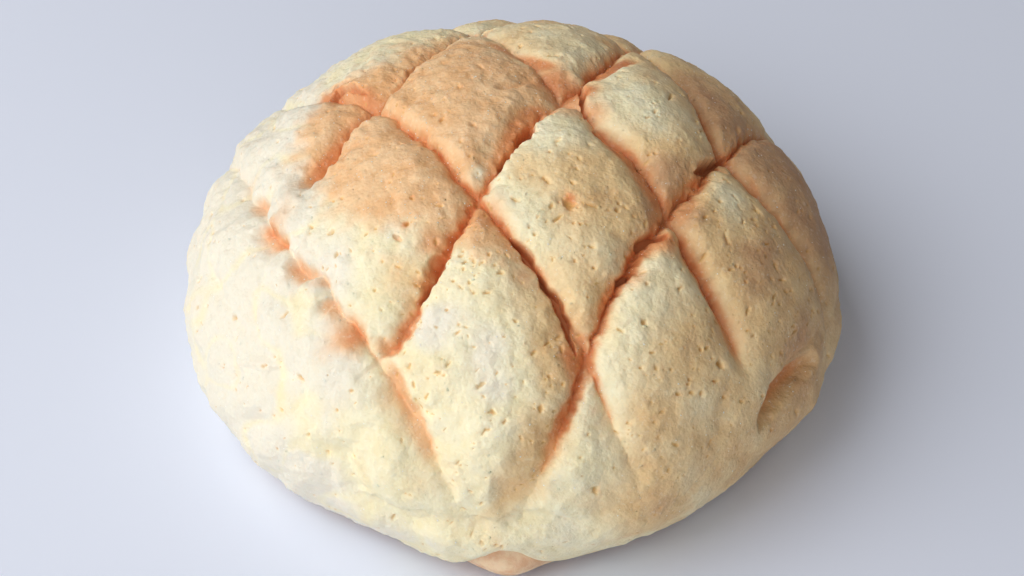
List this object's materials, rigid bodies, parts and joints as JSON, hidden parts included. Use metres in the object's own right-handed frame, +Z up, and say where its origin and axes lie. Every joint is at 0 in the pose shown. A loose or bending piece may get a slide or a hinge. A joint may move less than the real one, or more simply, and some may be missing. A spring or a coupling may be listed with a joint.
{
  "type": "melon pan bun",
  "caption": "Round domed sweet bun under a pale cookie crust scored in a diamond lattice, with a flat underside to rest on.",
  "frame": {"origin": "middle of the flat underside, on the surface that the bun stands on", "axes": "+Z up through the crown; -Y is the front, where the bread shows below the crust"},
  "size_m": [0.1147, 0.1161, 0.0539],
  "materials": {
    "crust": "matt baked cookie dough, pale yellow, toasted orange-brown on the crown and in the grooves",
    "bread": "satin golden-brown baked bread, on the underside and the foot",
    "sugar": "fine clear sugar crystals"
  },
  "bodies": {
    "root": {"bun": "crust"}
  },
  "joints": []
}
